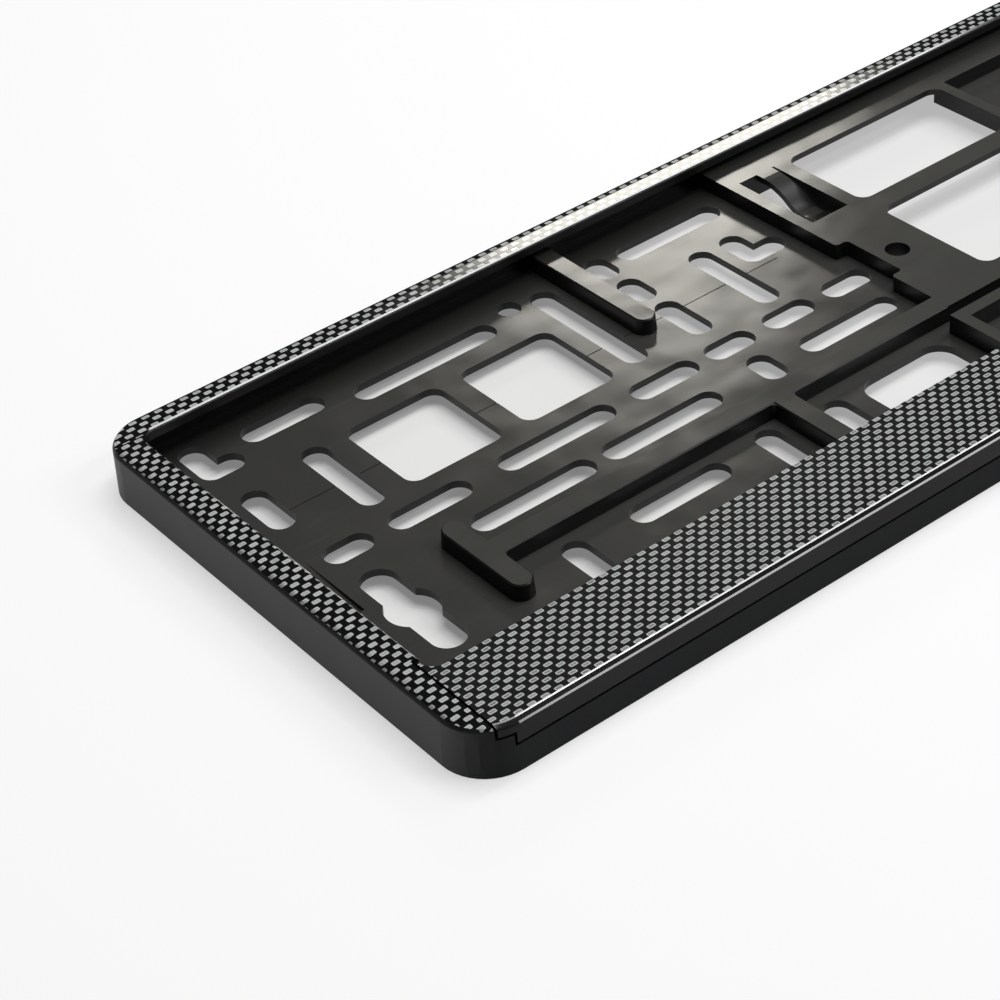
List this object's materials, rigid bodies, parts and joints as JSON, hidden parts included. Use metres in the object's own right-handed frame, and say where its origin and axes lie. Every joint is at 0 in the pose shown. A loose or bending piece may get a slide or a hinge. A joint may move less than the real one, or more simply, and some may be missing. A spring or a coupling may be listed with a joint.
{
  "type": "number plate holder",
  "caption": "Black plastic number plate holder: a slotted back tray with a carbon-look rim and a clip-on lower strip.",
  "frame": {"origin": "middle of the back, at the height where the holder rests on a flat surface", "axes": "+X along the plate, +Y up the plate, +Z out of the face; the part lies on its back at Z 0"},
  "size_m": [0.533, 0.134, 0.012],
  "materials": {
    "tray_plastic": "satin",
    "strip_plastic": "gloss"
  },
  "bodies": {
    "root": {"base_tray": "tray_plastic", "clip_strip": "strip_plastic"}
  },
  "joints": []
}
